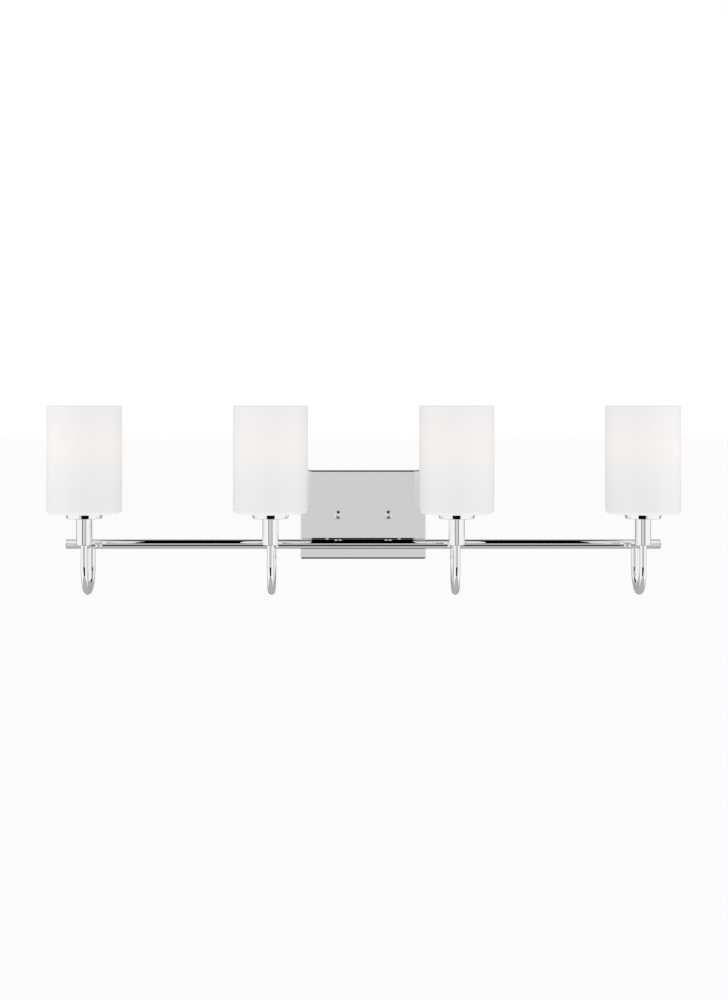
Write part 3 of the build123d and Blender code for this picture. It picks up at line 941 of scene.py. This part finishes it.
def makeColumn(number):
    look = columnLook
    lowest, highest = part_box(f"column_{number}")
    arm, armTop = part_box(f"arm_{number}")
    centre = (lowest + highest) / 2
    radius = (highest.x - lowest.x) / 2
    hole = (armTop.x - arm.x) / 2 + look["play"]
    inner = radius - look["wall"]
    foot, top = lowest.z, highest.z
    bm = bmesh.new()
    outline = [(hole, foot), (radius, foot), (radius, top), (inner, top)]
    outline += [(inner, foot + look["floor"]), (hole, foot + look["floor"])]
    rounds = [(0, look["holeRound"]), (1, look["footRound"]), (2, look["topRound"])]
    turned(bm, outline, rounds, steps=96, place=(centre.x, centre.y, 0), segments=5)
    return finishPiece(bm, f"lampColumn_{number}", "polished_chrome", "fixture", [f"column_{number}"])


seatLook = {"edge": 0.7 * mm, "taper": 1.3 * mm, "hole": 4.9 * mm}


def makeSeat(number):
    lowest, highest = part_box(f"shade_seat_{number}")
    column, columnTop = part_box(f"column_{number}")
    centre = (lowest + highest) / 2
    radius = (highest.x - lowest.x) / 2
    foot, top = columnTop.z, highest.z
    spigot = (columnTop.x - column.x) / 2 - columnLook["wall"] - columnLook["play"]
    hole = seatLook["hole"]
    bm = bmesh.new()
    outline = [(hole, lowest.z), (spigot, lowest.z), (spigot, foot), (radius - seatLook["taper"], foot)]
    outline += [(radius, top), (hole, top)]
    rounds = [(3, seatLook["edge"]), (4, seatLook["edge"])]
    turned(bm, outline, rounds, steps=128, place=(centre.x, centre.y, 0), segments=5)
    return finishPiece(bm, f"shadeDisc_{number}", "polished_chrome", "fixture", [f"shade_seat_{number}"])


# shades

shadeLook = {
    "wall": 3.5 * mm,
    "floor": 4.0 * mm,
    "outerCorner": 5.5 * mm,
    "innerCorner": 3.0 * mm,
    "rim": 1.3 * mm,
    "holeGap": 1.7 * mm,
    "holeRound": 0.6 * mm,
}


def makeShade(number):
    look = shadeLook
    lowest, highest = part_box(f"shade_{number}")
    socket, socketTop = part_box(f"socket_body_{number}")
    centre = (lowest + highest) / 2
    radius = (highest.x - lowest.x) / 2
    hole = (socketTop.x - socket.x) / 2 + look["holeGap"]
    inner = radius - look["wall"]
    foot, top = lowest.z, highest.z
    bm = bmesh.new()
    outline = [(hole, foot), (radius, foot), (radius, top), (inner, top)]
    outline += [(inner, foot + look["floor"]), (hole, foot + look["floor"])]
    rounds = [(0, look["holeRound"]), (1, look["outerCorner"]), (2, look["rim"]), (3, look["rim"])]
    rounds += [(4, look["innerCorner"]), (5, look["holeRound"])]
    turned(bm, outline, rounds, steps=128, place=(centre.x, centre.y, 0), segments=7)
    return finishPiece(bm, f"glassShade_{number}", "etched_glass", f"shade_{number}", [f"shade_{number}"])


# sockets and rings

socketLook = {
    "edge": 0.8 * mm,
    "bore": 13.85 * mm,
    "throat": 5.0 * mm,
    "threadDepth": 0.55 * mm,
    "threadPitch": 2.5 * mm,
    "threadStart": 4.5 * mm,
    "threadTurns": 7,
}


def makeSocket(number):
    look = socketLook
    lowest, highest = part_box(f"socket_body_{number}")
    centre = (lowest + highest) / 2
    radius = (highest.x - lowest.x) / 2 - look["threadDepth"]
    bore, throat = look["bore"], look["throat"]
    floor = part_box("socket_shells")[0].z
    foot, top = lowest.z, highest.z
    bm = bmesh.new()
    outline = [(throat, foot), (radius, foot), (radius, top), (bore, top), (bore, floor), (throat, floor)]
    rounds = [(2, look["edge"]), (3, look["edge"]), (4, 0.5 * mm)]
    turned(bm, outline, rounds, steps=96, place=(centre.x, centre.y, 0), segments=5)
    start = foot + look["threadStart"]
    thread(bm, radius, look["threadDepth"], look["threadPitch"], start, look["threadTurns"],
           place=(centre.x, centre.y, 0), perTurn=48)
    return finishPiece(bm, f"porcelainSocket_{number}", "porcelain", "fixture", [f"socket_body_{number}"])


shellLook = {
    "outer": 13.75 * mm,
    "inner": 13.45 * mm,
    "hole": 9.0 * mm,
    "floor": 0.35 * mm,
    "threadDepth": 0.28 * mm,
    "pitch": 3.6 * mm,
    "threadStart": 4.0 * mm,
    "turns": 6.5,
}


def makeShells():
    # brass screw shells, rolled into a thread, one in each socket
    look = shellLook
    lowest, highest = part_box("socket_shells")
    bm = bmesh.new()
    outer, inner, hole = look["outer"], look["inner"], look["hole"]
    for number in lights:
        centre = middle(f"column_{number}")
        foot, top = lowest.z, highest.z
        floor = foot + look["floor"]
        outline = [(hole, foot), (outer, foot), (outer, top), (inner, top), (inner, floor), (hole, floor)]
        turned(bm, outline, [(1, 0.3 * mm)], steps=64, place=(centre.x, centre.y, 0), segments=3)
        thread(bm, inner, look["threadDepth"], look["pitch"], foot + look["threadStart"], look["turns"],
               place=(centre.x, centre.y, 0), inward=True)
    return finishPiece(bm, "screwShells", "brass", "fixture", ["socket_shells"])


ringLook = {
    "play": 0.2 * mm,
    "flange": 2.5 * mm,
    "skirt": 3.3 * mm,
    "ribs": 12,
    "ribDepth": 2.8 * mm,
    "ribWidth": 1.4 * mm,
    "ribEdge": 0.4 * mm,
}


def makeRing(number):
    look = ringLook
    lowest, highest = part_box(f"shade_ring_{number}")
    socket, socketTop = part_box(f"socket_body_{number}")
    centre = (lowest + highest) / 2
    radius = (highest.x - lowest.x) / 2
    inner = (socketTop.x - socket.x) / 2 + look["play"]
    skirt = inner + look["skirt"]
    foot, top = lowest.z, highest.z
    flange = foot + look["flange"]
    bm = bmesh.new()
    outline = [(inner, foot), (radius, foot), (radius, flange), (skirt, flange), (skirt, top), (inner, top)]
    rounds = [(1, 0.5 * mm), (2, 0.8 * mm), (3, 0.8 * mm), (4, 0.6 * mm), (5, 0.5 * mm)]
    turned(bm, outline, rounds, steps=96, place=(centre.x, centre.y, 0), segments=4)
    for rib in range(look["ribs"]):
        before = set(bm.verts)
        bmesh.ops.create_cube(bm, size=1)
        mine = [v for v in bm.verts if v not in before]
        bmesh.ops.scale(bm, vec=(look["ribDepth"], look["ribWidth"], top - foot - 0.6 * mm), verts=mine)
        bars = list({e for v in mine for e in v.link_edges})
        bmesh.ops.bevel(bm, geom=bars, offset=look["ribEdge"], offset_type="OFFSET", affect="EDGES",
                        segments=3, profile=0.5, material=-1)
        mine = [v for v in bm.verts if v not in before]
        bmesh.ops.translate(bm, vec=(skirt, 0, (foot + top) / 2 - 0.1 * mm), verts=mine)
        spin = Matrix.Rotation(2 * math.pi * rib / look["ribs"], 3, "Z")
        bmesh.ops.rotate(bm, matrix=spin, cent=(0, 0, 0), verts=mine)
        bmesh.ops.translate(bm, vec=(centre.x, centre.y, 0), verts=mine)
    return finishPiece(bm, f"clampRing_{number}", "ring_plastic", f"ring_{number}", [f"shade_ring_{number}"])


def makeRingWasher(number):
    lowest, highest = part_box(f"ring_washer_{number}")
    socket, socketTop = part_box(f"socket_body_{number}")
    centre = (lowest + highest) / 2
    radius = (highest.x - lowest.x) / 2
    inner = (socketTop.x - socket.x) / 2 + washerLook["ringPlay"]
    bm = bmesh.new()
    outline = [(inner, lowest.z), (radius, lowest.z), (radius, highest.z), (inner, highest.z)]
    rounds = [(corner, washerLook["ringEdge"]) for corner in range(4)]
    turned(bm, outline, rounds, steps=96, place=(centre.x, centre.y, 0), segments=2)
    body = f"ring_{number}_travel"
    return finishPiece(bm, f"clampWasher_{number}", "fibre_washer", body, [f"ring_washer_{number}"])


# bulbs

bulbShape = {
    "neck": 33.0 * mm,  # top of the straight neck above the tip
    "neckPlay": 0.95 * mm,
    "sweep": 122,  # degrees of globe from the crown down
    "pull": 0.42,  # fullness of the curve from globe to neck
    "pitch": 3.62 * mm,
    "threadDepth": 0.55 * mm,
    "turns": 4.2,
    "capWall": 0.65 * mm,
    "capSide": 5.0 * mm,  # foot of the cap's side above the tip
}


def makeBulbGlass(number):
    lowest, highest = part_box(f"bulb_glass_{number}")
    base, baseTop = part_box(f"bulb_base_{number}")
    centre = (lowest + highest) / 2
    globe = (highest.x - lowest.x) / 2
    crown = highest.z - globe
    neck = (baseTop.x - base.x) / 2 - bulbShape["neckPlay"]
    neckTop = base.z + bulbShape["neck"]
    foot = lowest.z
    bm = bmesh.new()
    outline = [(0, highest.z)]
    dome = 22
    sweep = math.radians(bulbShape["sweep"])
    for step in range(1, dome + 1):
        angle = sweep * step / dome
        outline.append((globe * math.sin(angle), crown + globe * math.cos(angle)))
    start = Vector(outline[-1])
    lean = Vector((-math.cos(math.pi - sweep), -math.sin(math.pi - sweep)))
    finish = Vector((neck, neckTop))
    reach = (start - finish).length
    pull = reach * bulbShape["pull"]
    for step in range(1, 12):
        t = step / 12
        points = (start, start + lean * pull, finish + Vector((0, pull)), finish)
        weights = ((1 - t) ** 3, 3 * t * (1 - t) ** 2, 3 * t * t * (1 - t), t ** 3)
        spot = sum((p * w for p, w in zip(points, weights)), Vector((0, 0)))
        outline.append(tuple(spot))
    outline += [(neck, neckTop), (neck, foot), (0, foot)]
    turned(bm, outline, [], steps=96, closed=False, place=(centre.x, centre.y, 0))
    return finishPiece(bm, f"frostedGlobe_{number}", "bulb_glass", f"bulb_{number}_travel",
                       [f"bulb_glass_{number}"])


def makeBulbBase(number):
    shape = bulbShape
    lowest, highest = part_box(f"bulb_base_{number}")
    centre = (lowest + highest) / 2
    radius = (highest.x - lowest.x) / 2
    wall = shape["capWall"]
    body = radius - shape["threadDepth"]
    foot, top = lowest.z, highest.z
    side = foot + shape["capSide"]
    bm = bmesh.new()
    # the rolled cap, open at the top for the glass
    outline = [(body - 1.6 * mm, side - 0.8 * mm), (body, side + 0.6 * mm), (body, top - 4.2 * mm),
               (radius, top - 3.6 * mm), (radius, top), (radius - wall, top), (radius - wall, top - 4.0 * mm),
               (body - wall, top - 4.6 * mm), (body - wall, side + 0.6 * mm)]
    turned(bm, outline, [(1, 0.5 * mm), (3, 0.4 * mm), (4, 0.2 * mm)], steps=64,
           place=(centre.x, centre.y, 0), segments=3)
    thread(bm, body, shape["threadDepth"], shape["pitch"], side + 2.2 * mm, shape["turns"],
           place=(centre.x, centre.y, 0), perTurn=40)
    capFaces = len(bm.faces)
    # black glass cone and the soldered tip below it
    outline = [(0, side + 0.4 * mm), (body - 1.2 * mm, side - 0.4 * mm), (4.6 * mm, foot + 1.0 * mm),
               (0, foot + 1.0 * mm)]
    turned(bm, outline, [(1, 0.5 * mm), (2, 0.6 * mm)], steps=48, closed=False,
           place=(centre.x, centre.y, 0), segments=3)
    for f in list(bm.faces)[capFaces:]:
        f.material_index = 1
    outline = [(0, foot), (3.2 * mm, foot), (4.3 * mm, foot + 0.9 * mm), (3.9 * mm, foot + 1.5 * mm),
               (0, foot + 1.5 * mm)]
    turned(bm, outline, [(1, 0.7 * mm), (2, 0.3 * mm)], steps=48, closed=False,
           place=(centre.x, centre.y, 0), segments=3)
    return finishPiece(bm, f"screwCap_{number}", "bulb_cap", f"bulb_{number}", [f"bulb_base_{number}"],
                       extra=[insulatorGlass])


# bracket hardware

studLook = {"pitch": 0.8 * mm, "threadDepth": 0.22 * mm, "nutBore": 4.3 * mm}


def makeStuds():
    lowest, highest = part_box("strap_studs")
    radius = (highest.z - lowest.z) / 2
    bm = bmesh.new()
    core = radius - studLook["threadDepth"]
    for side in sides:
        centre = middle("knob_" + side)
        foot, top = -highest.y, -lowest.y
        outline = [(0, foot), (core, foot), (core, top), (0, top)]
        turned(bm, outline, [(1, 0.3 * mm), (2, 0.6 * mm)], steps=32, closed=False,
               place=(centre.x, 0, centre.z), turn=outward, segments=2)
        turns = (top - foot - 1.2 * mm) / studLook["pitch"]
        thread(bm, core, studLook["threadDepth"], studLook["pitch"], foot + 0.5 * mm, turns,
               place=(centre.x, 0, centre.z), turn=outward, perTurn=24)
    return finishPiece(bm, "threadedStuds", "zinc_steel", "fixture", ["strap_studs"])


def makeStudNuts():
    lowest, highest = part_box("stud_nuts")
    across = highest.z - lowest.z
    bm = bmesh.new()
    for side in sides:
        centre = middle("knob_" + side)
        hexNut(bm, across, studLook["nutBore"], highest.y - lowest.y, -highest.y,
               place=(centre.x, 0, centre.z), turn=outward)
    return finishPiece(bm, "studLocknuts", "zinc_steel", "fixture", ["stud_nuts"], sharp=20)


def makePostNuts():
    lowest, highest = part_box("post_nuts")
    across = highest.z - lowest.z
    bm = bmesh.new()
    for side in sides:
        centre = middle("post_" + side)
        hexNut(bm, across, 2 * washerLook["postBore"], highest.y - lowest.y, -highest.y,
               place=(centre.x, 0, centre.z), turn=outward)
    return finishPiece(bm, "postLocknuts", "zinc_steel", "fixture", ["post_nuts"], sharp=20)


def makePostWashers():
    lowest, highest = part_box("post_washers")
    bore = washerLook["postBore"]
    outer = (highest.z - lowest.z) / 2
    bm = bmesh.new()
    for side in sides:
        centre = middle("post_" + side)
        outline = [(bore, -highest.y), (outer, -highest.y), (outer, -lowest.y), (bore, -lowest.y)]
        turned(bm, outline, [(1, washerLook["postEdge"])], steps=64, place=(centre.x, 0, centre.z),
               turn=outward, segments=2)
    return finishPiece(bm, "postWashers", "zinc_steel", "fixture", ["post_washers"])


capLook = {
    "length": 19.0 * mm,
    "mouthBore": 3.2 * mm,
    "boreDepth": 13.0 * mm,
    "ribs": 14,
    "ribSwell": 0.05,
}


def makeWireCaps():
    # twist-on connectors: ribbed cone, domed end, rolled mouth
    look = capLook
    lowest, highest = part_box("wire_caps")
    centre = (lowest + highest) / 2
    radius = (highest.z - lowest.z) / 2
    bm = bmesh.new()
    bar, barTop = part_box("bar_tube")
    level = (bar.z + barTop.z) / 2
    for sign in sides.values():
        mouth = max(abs(lowest.x), abs(highest.x))
        tip = mouth - look["length"]
        bore = look["mouthBore"]
        floor = mouth - look["boreDepth"]
        before = set(bm.verts)
        outline = [(0, tip), (radius - 1.6 * mm, tip), (radius - 0.5 * mm, mouth - 2.5 * mm)]
        outline += [(radius, mouth - 2 * mm), (radius, mouth), (bore, mouth), (bore, floor)]
        outline.append((0, floor - 0.5 * mm))
        turned(bm, outline, [(1, 1.4 * mm), (4, 0.4 * mm)], steps=56, closed=False, turn=alongBar, segments=4)
        mine = [v for v in bm.verts if v not in before]
        for v in mine:
            # shallow ribs along the cone, none at the mouth or the tip
            away = Vector((v.co.y, v.co.z))
            if away.length > 3.4 * mm and tip + 1.5 * mm < v.co.x < mouth - 2.2 * mm:
                swell = 1 + look["ribSwell"] * math.cos(look["ribs"] * math.atan2(v.co.z, v.co.y))
                v.co.y, v.co.z = away * swell
        if sign < 0:
            bmesh.ops.scale(bm, vec=(-1, 1, 1), verts=mine)
        bmesh.ops.translate(bm, vec=(0, centre.y, level), verts=mine)
    return finishPiece(bm, "twistConnectors", "connector_plastic", "fixture", ["wire_caps"])


makeBackplate()
for side, sign in sides.items():
    makeKnob(side)
    makeKnobWasher(side)
    makeEndPlug(side, sign)
    makePost(side)
makeBar()
print("backplate, bar, posts and knobs made")

for number in lights:
    makeArm(number)
    makeColumn(number)
    makeSeat(number)
    makeShade(number)
    makeSocket(number)
    makeRing(number)
    makeRingWasher(number)
    makeBulbGlass(number)
    makeBulbBase(number)
makeShells()
print("lights made:", len(lights))

makeStuds()
makeStudNuts()
makePostNuts()
makePostWashers()
makeWireCaps()
print("bracket hardware made")

# CAD nodes that stay as they are, with their finish
kept = {
    "mounting_strap": "zinc_steel",
    "ground_screw": "green_screw",
    "seat_gaskets": "soft_gasket",
    "socket_contacts": "brass",
    "stem_nipples": "zinc_steel",
    "arm_nuts": "zinc_steel",
    "stem_nuts": "zinc_steel",
    "lead_wires": "lead_sleeve",
}
for node, slot in kept.items():
    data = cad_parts[node].data
    data.materials.clear()
    data.materials.append(finishes[slot])
